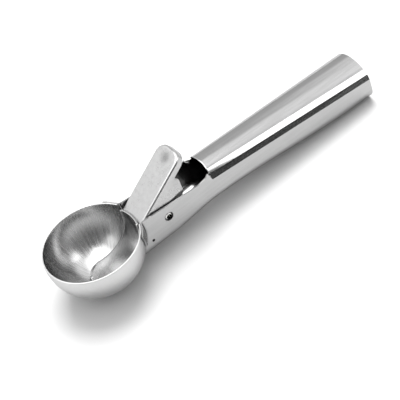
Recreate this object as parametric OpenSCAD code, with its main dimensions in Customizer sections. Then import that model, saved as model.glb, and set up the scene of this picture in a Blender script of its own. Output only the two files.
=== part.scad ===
// Lever ice cream scoop: a ball bowl on a folded sheet handle, with a sprung thumb lever
// whose curved blade sweeps the bowl and turns the ball of ice cream out.
// +X runs from the bowl to the handle's end, +Z is up and the table is at z = 0.
// The origin is on the table, under the middle of the whole length.

/* [Bowl] */
// Outside diameter of the ball bowl
bowl_d = 56; // [54:0.5:60]
// Thickness of the bowl's sheet
bowl_sheet = 0.9; // [0.7:0.1:1.2]
// Height of the rim above the ball's centre
rim_rise = 3.4; // [2.4:0.2:4.4]
// Depth of the lever's slot below the rim
slot_depth = 11.6; // [11:0.2:13]
// Gap between the lever and each side of its slot
slot_gap = 1.4; // [1:0.1:1.5]
// Radius of the slot's two lower corners
slot_r = 8; // [5:0.5:9]

/* [Handle] */
// Whole length, from the bowl's front to the handle's end
overall_length = 210.5; // [204:0.5:224]
// Length of the open neck, from the bowl's back to the tube's mouth
neck_length = 45.4; // [45:0.2:50]
// Outside width of the neck
neck_width = 22; // [21:0.5:24]
// Outside width of the tube at its end
rear_width = 29.5; // [27:0.5:32]
// Height of the tube's top above the table, at its mouth
mouth_height = 33; // [31:0.25:33.5]
// Height of the tube's top above the table, at its end
rear_height = 25.5; // [23:0.5:28]
// Rise of the tube's crown above its shoulders, at the mouth
crown_front = 5.7; // [5:0.1:6.5]
// Rise of the tube's crown above its shoulders, at the end
crown_rear = 6.8; // [5.5:0.1:8]
// Height of the narrow bevel between each flat side and the crown
bevel_height = 2.6; // [2:0.1:3.2]
// How far that bevel leans in
bevel_lean = 1.1; // [0.8:0.1:1.5]
// Radius of the lower corners at the neck
corner_front = 5; // [3.5:0.5:6]
// Radius of the lower corners at the tube's end
corner_rear = 6.5; // [5:0.5:9]
// Height of the underside above the table, under the pivot
belly_height = 6.8; // [6:0.2:7.6]
// Height of the underside above the table, where the tube begins
waist_height = 9; // [8:0.2:10]
// Distance of that waist ahead of the tube's mouth
waist_ahead = 4; // [3:0.5:5]
// Length of the flat that rests on the table at the handle's end
foot_length = 6; // [4:1:10]
// Thickness of the handle's sheet
handle_sheet = 0.9; // [0.7:0.1:1.1]
// Drop from the rim to the top edge of the neck's walls
wall_step = 0.5; // [0.3:0.1:1]
// Fall of that edge between the bowl and the mouth's sweep
wall_fall = 3.6; // [3:0.2:4.2]
// Length of the sweep that lifts the edge to the tube's mouth
sweep_length = 10; // [8:0.5:11]
// Rise of that sweep
sweep_rise = 1.3; // [1:0.1:1.6]

/* [Wings] */
// Half spread of the wings round the bowl, at their top
wing_top_reach = 20; // [18:0.5:21]
// Half spread of the wings at their lower corner
wing_low_reach = 19.2; // [17:0.2:19.6]
// Height of the wings' lower corner above the table
wing_low_height = 22.8; // [21:0.2:25]
// Height of the bending relief above the table
relief_height = 14.8; // [13.6:0.2:15.2]
// Diameter of the bending relief
relief_d = 1.8; // [1.4:0.1:2.2]
// Distance of the relief behind the bowl's back
relief_back = 1; // [0.2:0.2:1.2]
// Half width of the tab under the bowl
tab_reach = 12.5; // [11.5:0.5:14]
// Height of the tab's front edge above the table
tab_height = 4.2; // [3.4:0.2:5]
// Gap left for the weld between sheets that lie on each other
weld_gap = 0.04; // [0.03:0.01:0.08]

/* [Thumb lever] */
// Slope of the thumb pad at rest, in degrees
pad_slope = 33.8; // [32:0.2:35]
// Length of the pad from the bowl's back to its tip
pad_length = 40.7; // [38:0.1:41.5]
// Height of the pad above the ball's centre, at the bowl's back
pad_rise = 1.3; // [0.9:0.1:1.7]
// Thickness of the lever's sheet
lever_sheet = 0.9; // [0.7:0.1:1.1]
// Gap between each web and the neck's wall
side_gap = 0.7; // [0.5:0.1:0.9]
// Depth of the skirt turned down round the pad
skirt_depth = 4.6; // [4:0.2:5.4]
// Radius of the pad's two tip corners
tip_radius = 6.2; // [4:0.2:7.5]
// Distance from the pad's tip to the place where the webs begin
skirt_length = 12.4; // [11:0.2:14]
// Distance of the webs' rear edge behind the pin
web_back = 14.2; // [12:0.2:15]
// Radius of the webs round the pin
web_r = 6.4; // [5:0.2:7.4]
// Diameter of the thumb dimple
dimple_d = 5; // [4:0.5:8]
// Depth of the thumb dimple
dimple_depth = 0.45; // [0.2:0.05:0.6]
// Distance of the dimple's middle from the pad's tip
dimple_back = 6.2; // [5:0.2:9]

/* [Ejector blade] */
// Thickness of the blade's sheet
blade_sheet = 0.7; // [0.6:0.1:0.9]
// Gap between the blade and the bowl
blade_gap = 0.3; // [0.3:0.05:0.5]
// Width of the blade at its widest
blade_width = 22; // [20:0.5:24]
// Width of the blade where it leaves the bowl
blade_root_width = 16; // [14:0.5:17.5]
// Length of the blade's narrow root
blade_root_length = 7; // [5:0.5:9]
// Distance of the blade's tip in front of the ball's centre
blade_tip = 9.6; // [7:0.2:12]

/* [Pivot] */
// Distance of the pin behind the bowl's back
pin_back = 14; // [13.4:0.2:14.8]
// Depth of the pin below the rim
pin_drop = 9.2; // [8.4:0.2:9.4]
// Diameter of the pin
pin_d = 4; // [3.4:0.2:4.2]
// Diameter of the pin's ends in the neck's walls
pin_head_d = 5.4; // [5.2:0.1:5.8]
// Radial clearance of the pin in its holes
pin_clearance = 0.05; // [0.03:0.01:0.08]
// Gap between the pin's thicker ends and the neck's inside
head_gap = 0.1; // [0.05:0.05:0.3]
// How far the pin's domed ends lie inside the walls' faces
pin_recess = 0.15; // [0.1:0.05:0.3]
// Wall thickness of the spacer sleeve
sleeve_wall = 0.6; // [0.5:0.1:0.8]

/* [Return spring] */
// Diameter of the spring's wire
wire_d = 1.2; // [0.9:0.1:1.4]
// Gap between the coil and the spacer sleeve
coil_gap = 0.3; // [0.2:0.1:0.5]
// Whole turns of the coil
coil_turns = 6; // [4:1:8]
// Gap between neighbouring turns
turn_gap = 0.15; // [0.1:0.05:0.4]
// Reach of the lower leg behind the pin
low_leg = 13; // [11:0.5:16]
// Reach of the upper leg along the pad, from the pin
high_leg = 15; // [12:0.5:16]
// Gap between each leg and the sheet that it bears on
leg_gap = 0.3; // [0.15:0.05:0.5]
// Length of the straight end of each leg
leg_foot = 2.4; // [1.6:0.2:4]

/* [End cap] */
// Thickness of the cap's sheet
cap_sheet = 0.9; // [0.7:0.1:1.1]
// Depth of the cap's turned edge
cap_depth = 5; // [4:0.5:7]
// How far the cap lies inside the tube's end
cap_recess = 0.8; // [0.4:0.1:1.5]

/* [Hidden] */
$fn = 96;
bowl_r = bowl_d / 2;
rim_height = bowl_r + rim_rise;
mouth_x = bowl_r + neck_length;
rear_x = overall_length - bowl_r;
// The frame's origin is half way along, so every piece is drawn from the ball and then shifted
middle_x = overall_length / 2 - bowl_r;
neck_half = neck_width / 2;
channel_half = neck_half - handle_sheet;
lever_half = channel_half - side_gap;
web_inner = lever_half - lever_sheet;
skirt_start = pad_length - skirt_length;
pin_x = bowl_r + pin_back;
pin_height = rim_height - pin_drop;
pad_height = bowl_r + pad_rise;
blade_outer_r = bowl_r - bowl_sheet - blade_gap;
blade_inner_r = blade_outer_r - blade_sheet;
weld_r = bowl_r + weld_gap;
wing_r = weld_r + handle_sheet;
wall_height = rim_height - wall_step;
sweep_x = mouth_x - sweep_length;
sleeve_r = pin_d / 2 + pin_clearance + sleeve_wall;
coil_r = sleeve_r + coil_gap + wire_d / 2;
// A cutting solid reaches this far past what it cuts
past = 1;
cut_height = 3 * bowl_d;
// The handle's rings along its length, and the points along its corners and half its crown
neck_rings = 12;
tube_rings = 9;
sweep_steps = 6;
corner_steps = 5;
crown_steps = 8;
// The bevel grows out of the flat wall over this length, half of it behind the mouth
bevel_run = 4;
bevel_start_x = mouth_x - bevel_run / 2;
// The underside is lowest under the pivot and highest at the waist
belly_x = pin_x;
waist_x = mouth_x - waist_ahead;
foot_x = rear_x - foot_length;
ring_start_x = bowl_r / 2;
wire_sides = 8;
degrees_per_ring = 18;
// The round lower edge of the webs, in degrees about the pin
web_arc_start = -25;
web_arc_end = -150;
web_arc_step = 12.5;

function mix(a, b, t) = a + (b - a) * t;
function ease(t) = let (s = min(1, max(0, t))) s * s * (3 - 2 * s);
// 0 at the tube's mouth and 1 at its end
function tube_part(x) = (x - mouth_x) / (rear_x - mouth_x);
function underside(x) = x < waist_x
    ? mix(belly_height, waist_height, ease((x - belly_x) / (waist_x - belly_x)))
    : waist_height * (1 - ease((x - waist_x) / (foot_x - waist_x)));
function half_width(x) = mix(neck_half, rear_width / 2, max(0, tube_part(x)));
function crown_top(x) = mix(mouth_height, rear_height, tube_part(x));
function crown_rise(x) = mix(crown_front, crown_rear, max(0, tube_part(x)));
function corner_r(x) = mix(corner_front, corner_rear, max(0, tube_part(x)));
function lean_in(x) = bevel_lean * ease((x - bevel_start_x) / bevel_run);
// Height of the neck walls' top edge: a straight fall, then the sweep up to the mouth
function wall_top(x) = wall_height - wall_fall * (min(x, sweep_x) - bowl_r) / (sweep_x - bowl_r)
    + sweep_rise * ease((x - sweep_x) / sweep_length);

// Half of the handle's section at x, as [y, z] from the lower corner to the crown,
// set in from the outside by inset
function half_section(x, inset) = let (
        w = half_width(x) - inset,
        low = underside(x) + inset,
        high = crown_top(x) - inset,
        shoulder = crown_top(x) - crown_rise(x),
        r = corner_r(x) - inset,
        reach = w - lean_in(x),
        sag = high - shoulder,
        crown_r = (reach * reach + sag * sag) / (2 * sag),
        crown_a = asin(reach / crown_r))
    concat(
        [for (i = [0:corner_steps]) let (a = 90 * i / corner_steps)
            [w - r + r * sin(a), low + r - r * cos(a)]],
        [[w, shoulder - bevel_height]],
        [for (i = [0:crown_steps - 1]) let (a = crown_a * (1 - i / crown_steps))
            [crown_r * sin(a), high - crown_r + crown_r * cos(a)]]);

// The whole ring at x: up one side, over the crown and down the other
function ring(x, inset) = let (half = half_section(x, inset), last = len(half) - 1) concat(
    [for (p = half) [x, -p[0], p[1]]],
    [[x, 0, crown_top(x) - inset]],
    [for (i = [last:-1:0]) [x, half[i][0], half[i][1]]]);

// A solid through rings of n points each, closed at both ends
module loft(rings) {
    n = len(rings[0]);
    last = len(rings) - 1;
    polyhedron(
        points = [for (r = rings) each r],
        faces = concat(
            [for (k = [0:last - 1], i = [0:n - 1]) let (j = (i + 1) % n)
                each [[k * n + i, k * n + j, (k + 1) * n + i],
                      [k * n + j, (k + 1) * n + j, (k + 1) * n + i]]],
            [[for (i = [n - 1:-1:0]) i], [for (i = [0:n - 1]) last * n + i]]));
}

// The folded sheet from the bowl to the handle's end, as one open-ended wall
module folded_wall(stations) {
    outer = [for (x = stations) ring(x, 0)];
    inner = [for (x = stations) ring(x, handle_sheet)];
    n = len(outer[0]);
    last = len(stations) - 1;
    base = n * len(stations);
    polyhedron(
        points = concat([for (r = outer) each r], [for (r = inner) each r]),
        faces = concat(
            [for (k = [0:last - 1], i = [0:n - 1]) let (j = (i + 1) % n)
                each [[k * n + i, k * n + j, (k + 1) * n + i],
                      [k * n + j, (k + 1) * n + j, (k + 1) * n + i],
                      [base + k * n + i, base + (k + 1) * n + i, base + k * n + j],
                      [base + k * n + j, base + (k + 1) * n + i, base + (k + 1) * n + j]]],
            [for (i = [0:n - 1]) let (j = (i + 1) % n)
                each [[i, base + i, j],
                      [j, base + i, base + j],
                      [last * n + i, last * n + j, base + last * n + i],
                      [last * n + j, base + last * n + j, base + last * n + i]]]));
}

// Everything is drawn from the ball's foot on the table and shifted once, here
module in_frame() {
    translate([-middle_x, 0, 0]) children();
}

// A solid of the side view's [x, z] outline, from y = -half to y = half
module side_plate(half) {
    rotate([90, 0, 0]) linear_extrude(height = 2 * half, center = true) children();
}

// A cylinder along Y through the pin's centre
module on_pin(r, from_y, to_y) {
    translate([pin_x, to_y, pin_height]) rotate([90, 0, 0])
        cylinder(h = to_y - from_y, r = r);
}

module ball(r) {
    translate([0, 0, bowl_r]) sphere(r = r);
}

// The lever's slot seen along X: straight sides and a rounded bottom
module slot_outline() {
    half = lever_half + slot_gap;
    low = rim_height - slot_depth;
    translate([-half, low + slot_r]) square([2 * half, slot_depth]);
    translate([slot_r - half, low]) square([2 * (half - slot_r), slot_depth]);
    for (side = [-1, 1]) translate([side * (half - slot_r), low + slot_r]) circle(r = slot_r);
}

module bowl() {
    color("silver") in_frame() difference() {
        ball(bowl_r);
        ball(bowl_r - bowl_sheet);
        translate([-bowl_d, -bowl_d, rim_height]) cube([2 * bowl_d, 2 * bowl_d, cut_height]);
        rotate([90, 0, 90]) linear_extrude(height = bowl_d) slot_outline();
    }
}

// The wings or the tab: the part of a ball's skin behind the given [y, z] outline
module hugging_sheet() {
    intersection() {
        difference() {
            ball(wing_r);
            ball(weld_r);
        }
        rotate([90, 0, 90]) linear_extrude(height = bowl_d) children();
    }
}

module wing_outline() {
    polygon([[channel_half, relief_height + relief_d / 2], [wing_low_reach, wing_low_height],
             [wing_top_reach, wall_height], [channel_half, wall_height]]);
}

module handle_stock() {
    neck_stations = [for (i = [0:neck_rings]) mix(ring_start_x, mouth_x, i / neck_rings)];
    tube_stations = [for (i = [1:tube_rings]) mix(mouth_x, rear_x, i / tube_rings)];
    difference() {
        folded_wall(concat(neck_stations, tube_stations));
        ball(weld_r);
        // Opens the neck above its walls
        side_plate(bowl_d) polygon(concat(
            [[0, cut_height], [0, wall_top(0)], [sweep_x, wall_top(sweep_x)]],
            [for (i = [1:sweep_steps]) let (x = sweep_x + sweep_length * i / sweep_steps)
                [x, wall_top(x)]],
            [[mouth_x, cut_height]]));
    }
}

module handle() {
    relief_x = bowl_r + relief_back;
    color("lightgray") in_frame() difference() {
        union() {
            handle_stock();
            hugging_sheet() wing_outline();
            hugging_sheet() mirror([1, 0]) wing_outline();
            hugging_sheet() polygon([
                [-channel_half + corner_front, tab_height], [channel_half - corner_front, tab_height],
                [tab_reach, tab_height + corner_front], [neck_half, relief_height - relief_d / 2],
                [-neck_half, relief_height - relief_d / 2], [-tab_reach, tab_height + corner_front]]);
        }
        // Bending reliefs between wings and tab, open to the bowl
        side_plate(bowl_d) translate([relief_x, relief_height]) circle(d = relief_d);
        side_plate(bowl_d) translate([0, relief_height - relief_d / 4])
            square([relief_x, relief_d / 2]);
        // Opens the channel behind the slot, so the lever can pass
        translate([0, -channel_half, rim_height - slot_depth])
            cube([bowl_r + handle_sheet, 2 * channel_half, slot_depth + past]);
        on_pin(pin_head_d / 2 + pin_clearance, -bowl_d, bowl_d);
    }
}

// Draws in the pad's own frame: x up the slope from the bowl's back, z square to the pad's top
module on_pad() {
    translate([bowl_r, 0, pad_height]) rotate([0, -pad_slope, 0]) children();
}

// The pad's plan, with its sides and its tip moved in by inset
module pad_outline(inset) {
    half = lever_half - inset;
    r = tip_radius - inset;
    tip = pad_length - inset;
    translate([-pad_length, -half]) square([tip - r + pad_length, 2 * half]);
    translate([-pad_length, r - half]) square([tip + pad_length, 2 * (half - r)]);
    for (side = [-1, 1]) translate([tip - r, side * (half - r)]) circle(r = r);
}

// The point of the side view that lies along up the slope and deep below the pad's top
function pad_point(along, deep) = [bowl_r + along * cos(pad_slope) + deep * sin(pad_slope),
                                   pad_height + along * sin(pad_slope) - deep * cos(pad_slope)];

// The lever's side view: the pad along the top, the skirt, and a web down and round the pin
module lever_profile() {
    front = -past - lever_sheet;
    edge_depth = 2 * lever_sheet;
    web_x = pin_x + web_back;
    polygon(concat(
        [pad_point(0, edge_depth), pad_point(front, edge_depth), pad_point(front, 0),
         pad_point(pad_length + past, 0), pad_point(pad_length + past, skirt_depth),
         pad_point(skirt_start, skirt_depth),
         [web_x, pad_point(skirt_start, 2 * skirt_depth)[1]], [web_x, pin_height + web_r]],
        [for (a = [web_arc_start:-web_arc_step:web_arc_end])
            [pin_x + web_r * cos(a), pin_height + web_r * sin(a)]]));
}

module thumb_lever() {
    dimple_r = (dimple_d * dimple_d / 4 + dimple_depth * dimple_depth) / (2 * dimple_depth);
    color("gainsboro") in_frame() difference() {
        intersection() {
            side_plate(lever_half + past) lever_profile();
            on_pad() translate([0, 0, -cut_height])
                linear_extrude(height = 2 * cut_height) pad_outline(0);
        }
        // The hollow between the two webs and inside the skirt
        on_pad() translate([0, 0, -cut_height])
            linear_extrude(height = cut_height - lever_sheet) pad_outline(lever_sheet);
        ball(blade_outer_r + weld_gap);
        on_pad() translate([pad_length - dimple_back, 0, dimple_r - dimple_depth])
            sphere(r = dimple_r);
        on_pin(pin_d / 2 + pin_clearance, -bowl_d, bowl_d);
    }
}

// The blade seen from above: a round tongue that narrows to its root
module blade_outline() {
    r = blade_width / 2;
    centre_x = r - blade_tip;
    root_x = bowl_r - blade_root_length;
    translate([centre_x, 0]) circle(r = r);
    polygon([[centre_x, -r], [root_x, -blade_root_width / 2], [bowl_r, -blade_root_width / 2],
             [bowl_r, blade_root_width / 2], [root_x, blade_root_width / 2], [centre_x, r]]);
}

module ejector_blade() {
    color("darkgray") in_frame() intersection() {
        difference() {
            ball(blade_outer_r);
            ball(blade_inner_r);
        }
        linear_extrude(height = pad_height) blade_outline();
    }
}

module pivot_pin() {
    end_y = neck_half - pin_recess;
    head_y = channel_half + head_gap;
    color("dimgray") in_frame() intersection() {
        union() {
            on_pin(pin_d / 2, -neck_half, neck_half);
            on_pin(pin_head_d / 2, head_y, neck_half);
            on_pin(pin_head_d / 2, -neck_half, -head_y);
        }
        // Rounds both ends
        translate([pin_x, 0, pin_height]) sphere(r = end_y);
    }
}

module spacer_sleeve() {
    end_y = web_inner - side_gap / 2;
    color("slategray") in_frame() difference() {
        on_pin(sleeve_r, -end_y, end_y);
        on_pin(pin_d / 2 + pin_clearance, -end_y - past, end_y + past);
    }
}

// Where a straight wire from the point [x, z], counted from the pin, meets the coil
function tangent_angle(p, side) = atan2(p[1], p[0]) + side * acos(coil_r / norm(p));

// A round wire along the path's points
module wire(path) {
    last = len(path) - 1;
    loft([for (k = [0:last]) let (
            ahead = path[min(last, k + 1)] - path[max(0, k - 1)],
            along = ahead / norm(ahead),
            side = cross([0, 1, 0], along) / norm(cross([0, 1, 0], along)),
            up = cross(side, along))
        [for (i = [0:wire_sides - 1]) let (a = 360 * i / wire_sides)
            path[k] + wire_d / 2 * (cos(a) * side + sin(a) * up)]]);
}

module return_spring() {
    pitch = wire_d + turn_gap;
    low_end = [low_leg, underside(pin_x + low_leg) + handle_sheet + leg_gap + wire_d / 2 - pin_height];
    // The upper leg lies just under the pad, and its end runs along it
    pad_clear = lever_sheet + leg_gap + wire_d / 2;
    high_end = pad_point(pin_back + high_leg, pad_clear) - [pin_x, pin_height];
    start_a = tangent_angle(low_end, -1);
    end_a = tangent_angle(high_end, 1) - 360 * coil_turns;
    rings = ceil((start_a - end_a) / degrees_per_ring);
    half_coil = pitch * (start_a - end_a) / 720;
    color("gray") in_frame() translate([pin_x, 0, pin_height]) wire(concat(
        [[low_end[0] + leg_foot, -half_coil, low_end[1]], [low_end[0], -half_coil, low_end[1]]],
        [for (i = [0:rings]) let (a = mix(start_a, end_a, i / rings))
            [coil_r * cos(a), mix(-half_coil, half_coil, i / rings), coil_r * sin(a)]],
        [[high_end[0], half_coil, high_end[1]],
         [high_end[0] + leg_foot * cos(pad_slope), half_coil,
          high_end[1] + leg_foot * sin(pad_slope)]]));
}

module end_cap() {
    cap_end = rear_x - cap_recess;
    cap_start = cap_end - cap_depth;
    fit = handle_sheet + weld_gap;
    color("silver") in_frame() difference() {
        loft([ring(cap_start, fit), ring(cap_end, fit)]);
        loft([ring(cap_start - past, fit + cap_sheet), ring(cap_end - cap_sheet, fit + cap_sheet)]);
    }
}

bowl();
handle();
thumb_lever();
ejector_blade();
pivot_pin();
spacer_sleeve();
return_spring();
end_cap();
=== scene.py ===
import bpy
import math
from mathutils import Matrix, Vector


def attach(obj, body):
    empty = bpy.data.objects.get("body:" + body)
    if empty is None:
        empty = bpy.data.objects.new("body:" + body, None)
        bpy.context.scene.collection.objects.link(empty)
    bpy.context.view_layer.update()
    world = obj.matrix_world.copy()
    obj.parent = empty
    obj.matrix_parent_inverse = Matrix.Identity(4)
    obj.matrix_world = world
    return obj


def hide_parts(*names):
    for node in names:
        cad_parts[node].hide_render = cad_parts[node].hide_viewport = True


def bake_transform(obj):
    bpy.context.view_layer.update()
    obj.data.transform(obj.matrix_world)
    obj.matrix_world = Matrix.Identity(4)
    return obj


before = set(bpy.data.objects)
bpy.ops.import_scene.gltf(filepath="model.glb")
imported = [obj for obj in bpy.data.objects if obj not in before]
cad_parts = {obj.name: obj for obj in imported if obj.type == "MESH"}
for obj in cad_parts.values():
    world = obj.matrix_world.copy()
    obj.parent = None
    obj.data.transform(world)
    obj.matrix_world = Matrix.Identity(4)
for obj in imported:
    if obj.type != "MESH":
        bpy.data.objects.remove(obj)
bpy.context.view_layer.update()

# ---------------------------------------------------------------------------------------------
# Sizes in millimetres, as the solids have them. Lengths along X count from the ball's centre
# here, and the frame's origin lies MIDDLE behind it.
# ---------------------------------------------------------------------------------------------
MIDDLE = 77.25
BALL_R, BALL_SHEET, RIM_Z = 27.99, 0.89, 31.4
SLOT_HALF, SLOT_LOW, SLOT_R = 10.8, 19.8, 8.0
MOUTH_X, REAR_X = 73.4, 182.46
NECK_HALF, REAR_HALF = 11.0, 14.75
MOUTH_Z, REAR_Z = 33.0, 25.5
CROWN_FRONT, CROWN_REAR = 5.7, 6.8
BEVEL_HEIGHT, BEVEL_LEAN, BEVEL_RUN = 3.0, 1.3, 4.2
CORNER_FRONT, CORNER_REAR = 5.0, 8.5
BELLY_Z, BELLY_X, WAIST_Z, WAIST_X, FOOT_X = 6.8, 42.0, 9.0, 69.4, 176.5
WALL_Z, WALL_FALL, SWEEP_X, SWEEP_LENGTH, SWEEP_RISE = 30.9, 3.6, 63.4, 10.0, 1.3
SHEET = 0.9
WING_R = BALL_R + 0.04 + SHEET
RELIEF, RELIEF_DRILL, RELIEF_R = (29.0, 14.8), (28.6, 14.8), 0.9
PAD_SLOPE, PAD_LENGTH, PAD_Z = 33.8, 40.7, 29.3
LEVER_HALF, SKIRT_DEPTH, TIP_R, SKIRT_START = 9.4, 4.6, 6.2, 28.3
PIN_X, PIN_Z, PIN_R, PIN_HOLE_R, WEB_R, WEB_BACK = 42.0, 22.2, 1.9, 2.75, 6.4, 14.2
BLADE_R, BLADE_SHEET, BLADE_HALF, BLADE_TIP, ROOT_HALF, ROOT_X = 26.8, 1.0, 11.0, 9.6, 8.0, 21.0
DIMPLE_D, DIMPLE_DEPTH, DIMPLE_BACK = 6.4, 0.2, 6.0
# Tools that cut through the whole scoop reach this far to either side
THROUGH = 15


def at(x, y, z):
    """A point of the scoop in the frame, in metres."""
    return Vector(((x - MIDDLE) / 1000, y / 1000, z / 1000))


def mm(value):
    return value / 1000


def mix(a, b, t):
    return a + (b - a) * t


def ease(t):
    t = min(1.0, max(0.0, t))
    return t * t * (3 - 2 * t)


# ---------------------------------------------------------------------------------------------
# Small helpers for working by hand in edit mode
# ---------------------------------------------------------------------------------------------
def put_down():
    """Nothing is selected or being edited."""
    if bpy.context.object and bpy.context.object.mode != "OBJECT":
        bpy.ops.object.mode_set(mode="OBJECT")
    bpy.ops.object.select_all(action="DESELECT")


def pick(obj):
    put_down()
    obj.select_set(True)
    bpy.context.view_layer.objects.active = obj


def edit(obj):
    pick(obj)
    bpy.ops.object.mode_set(mode="EDIT")
    bpy.ops.mesh.select_all(action="DESELECT")


def done():
    bpy.ops.object.mode_set(mode="OBJECT")


def select(obj, kind, test):
    """Selects the verts, edges or faces whose middle passes the test, and nothing else."""
    bpy.ops.mesh.select_mode(type={"verts": "VERT", "edges": "EDGE", "faces": "FACE"}[kind])
    bpy.ops.mesh.select_all(action="DESELECT")
    done()
    me = obj.data
    for item in {"verts": me.vertices, "edges": me.edges, "faces": me.polygons}[kind]:
        if kind == "verts":
            middle = item.co
        elif kind == "edges":
            middle = (me.vertices[item.vertices[0]].co + me.vertices[item.vertices[1]].co) / 2
        else:
            middle = item.center
        item.select = bool(test(item, middle))
    bpy.ops.object.mode_set(mode="EDIT")


def settle(obj, name):
    """The piece's place goes into its mesh, its object sits at the origin, and it is named."""
    pick(obj)
    bpy.ops.object.transform_apply(location=True, rotation=True, scale=True)
    obj.name = name
    obj.data.name = name
    return obj


def blank(name, columns, rows, place):
    """A flat grid of sheet whose point (column, row) is brought to place(column, row)."""
    put_down()
    bpy.ops.mesh.primitive_grid_add(x_subdivisions=columns, y_subdivisions=rows, size=1)
    obj = settle(bpy.context.object, name)
    xs = sorted({round(v.co.x, 5) for v in obj.data.vertices})
    ys = sorted({round(v.co.y, 5) for v in obj.data.vertices})
    for v in obj.data.vertices:
        v.co = place(xs.index(round(v.co.x, 5)), ys.index(round(v.co.y, 5)))
    obj.data.update()
    return obj


def join(first, *others):
    pick(first)
    for o in others:
        o.select_set(True)
    bpy.ops.object.join()
    return first


def close_up(obj, gap=0.01):
    """Merges the seams of a piece."""
    edit(obj)
    bpy.ops.mesh.select_all(action="SELECT")
    bpy.ops.mesh.remove_doubles(threshold=mm(gap))
    done()


def lid(obj, test):
    """Closes the open edge loop whose edges pass the test with one face."""
    uses = {}
    for face in obj.data.polygons:
        for key in face.edge_keys:
            uses[key] = uses.get(key, 0) + 1
    edit(obj)
    select(obj, "edges", lambda e, c: uses[e.key] == 1 and test(c))
    bpy.ops.mesh.edge_face_add()
    done()


def turn_out(obj):
    """The faces of a closed piece look outwards, and those of an open sheet agree."""
    edit(obj)
    bpy.ops.mesh.select_all(action="SELECT")
    bpy.ops.mesh.normals_make_consistent(inside=False)
    done()


def face_out(obj, probe, direction):
    """The faces agree, and the one nearest the probe looks along direction."""
    turn_out(obj)
    near = min(obj.data.polygons, key=lambda f: (f.center - probe).length)
    if near.normal.dot(Vector(direction)) < 0:
        edit(obj)
        bpy.ops.mesh.select_all(action="SELECT")
        bpy.ops.mesh.flip_normals()
        done()


def finish_with(obj, kind, **settings):
    """Adds a modifier and applies it."""
    pick(obj)
    m = obj.modifiers.new(kind.lower(), kind)
    for key, value in settings.items():
        setattr(m, key, value)
    bpy.ops.object.modifier_apply(modifier=m.name)


def cut_with(obj, tool, operation="DIFFERENCE"):
    finish_with(obj, "BOOLEAN", object=tool, operation=operation, solver="EXACT")
    bpy.data.objects.remove(tool)


def smooth(obj, degrees=35):
    pick(obj)
    bpy.ops.object.shade_smooth_by_angle(angle=math.radians(degrees))


def rod(name, x, z, r, y0, y1, sides=48):
    """A cylinder along Y."""
    put_down()
    bpy.ops.mesh.primitive_cylinder_add(
        vertices=sides, radius=mm(r), depth=mm(y1 - y0), location=at(x, (y0 + y1) / 2, z),
        rotation=(math.pi / 2, 0, 0))
    return settle(bpy.context.object, name)


def turned(name, profile, foot, axis, steps):
    """A closed profile of (radius, height) points spun round the axis that stands on foot."""
    put_down()
    bpy.ops.mesh.primitive_circle_add(vertices=len(profile), radius=1, fill_type="NOTHING")
    obj = settle(bpy.context.object, name)
    for v, (r, height) in zip(obj.data.vertices, profile):
        v.co = foot + Vector((mm(r), 0, 0)) + Vector(axis) * mm(height)
    edit(obj)
    bpy.ops.mesh.select_all(action="SELECT")
    bpy.ops.mesh.spin(steps=steps, angle=2 * math.pi, center=foot, axis=axis)
    done()
    close_up(obj, 0.003)
    turn_out(obj)
    return obj


def prism(name, outline, push):
    """A solid of a flat outline, pushed that far."""
    put_down()
    bpy.ops.mesh.primitive_circle_add(vertices=len(outline), radius=1, fill_type="NGON")
    obj = settle(bpy.context.object, name)
    for v, point in zip(obj.data.vertices, outline):
        v.co = point
    edit(obj)
    bpy.ops.mesh.select_all(action="SELECT")
    bpy.ops.mesh.extrude_region_move(TRANSFORM_OT_translate={"value": push})
    done()
    turn_out(obj)
    return obj


# ---------------------------------------------------------------------------------------------
# Finishes
# ---------------------------------------------------------------------------------------------
def linear(code):
    """An sRGB hex colour as the linear colour that a shader takes."""
    parts = [int(code[i:i + 2], 16) / 255 for i in (1, 3, 5)]
    return tuple(c / 12.92 if c <= 0.04045 else ((c + 0.055) / 1.055) ** 2.4
                 for c in parts) + (1.0,)


def add(tree, kind, inputs=(), links=(), **settings):
    """One node with its settings, its fixed inputs and what is linked into it."""
    node = tree.nodes.new(kind)
    for key, value in settings.items():
        setattr(node, key, value)
    for key, value in dict(inputs).items():
        node.inputs[key].default_value = value
    for key, socket in dict(links).items():
        tree.links.new(socket, node.inputs[key])
    return node


# Noise keeps near its middle, so this much of it is spread out from dark to pale
NOISE_LOW, NOISE_HIGH = 0.36, 0.64
# Broad cloudy polishing marks, so many mm across, are half of what varies the tone
CLOUD_MM, CLOUD_SHARE = 9, 0.5
# The roughness goes this share up and down with the tone, and a spot of painted shade darkens the
# colour by up to this share
ROUGH_SPREAD, DIMPLE_SHADE_SHARE = 0.2, 0.42


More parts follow.
